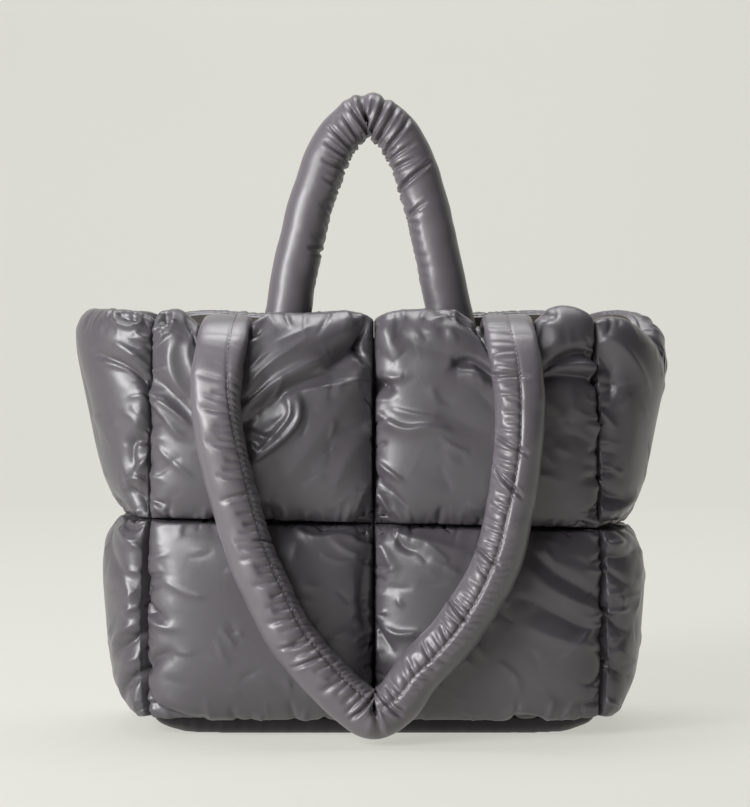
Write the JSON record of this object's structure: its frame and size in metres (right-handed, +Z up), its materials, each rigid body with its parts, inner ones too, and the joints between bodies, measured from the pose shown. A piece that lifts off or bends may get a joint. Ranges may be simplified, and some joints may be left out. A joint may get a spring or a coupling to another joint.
{
  "type": "puffer tote bag",
  "caption": "Open-topped padded tote bag quilted in large puffed squares, with stuffed rope handles: one folded down in front, one standing.",
  "frame": {"origin": "middle of the base's flat underside, on the surface that the bag stands on", "axes": "+Z up, -Y towards the front, where one handle hangs down, +X to the right as seen from the front"},
  "size_m": [0.4846, 0.2368, 0.5236],
  "materials": {
    "shell_nylon": "glossy coated nylon, grey",
    "handle_nylon": "glossy coated nylon, grey, gathered"
  },
  "bodies": {
    "root": {"front_puff_upper_left": "shell_nylon", "front_puff_upper_right": "shell_nylon", "front_puff_lower_left": "shell_nylon", "front_puff_lower_right": "shell_nylon", "back_puff_upper_left": "shell_nylon", "back_puff_upper_right": "shell_nylon", "back_puff_lower_left": "shell_nylon", "back_puff_lower_right": "shell_nylon", "left_gusset_puff_upper": "shell_nylon", "left_gusset_puff_lower": "shell_nylon", "right_gusset_puff_upper": "shell_nylon", "right_gusset_puff_lower": "shell_nylon", "base_puff": "shell_nylon", "front_handle": "handle_nylon", "back_handle": "handle_nylon"}
  },
  "joints": []
}
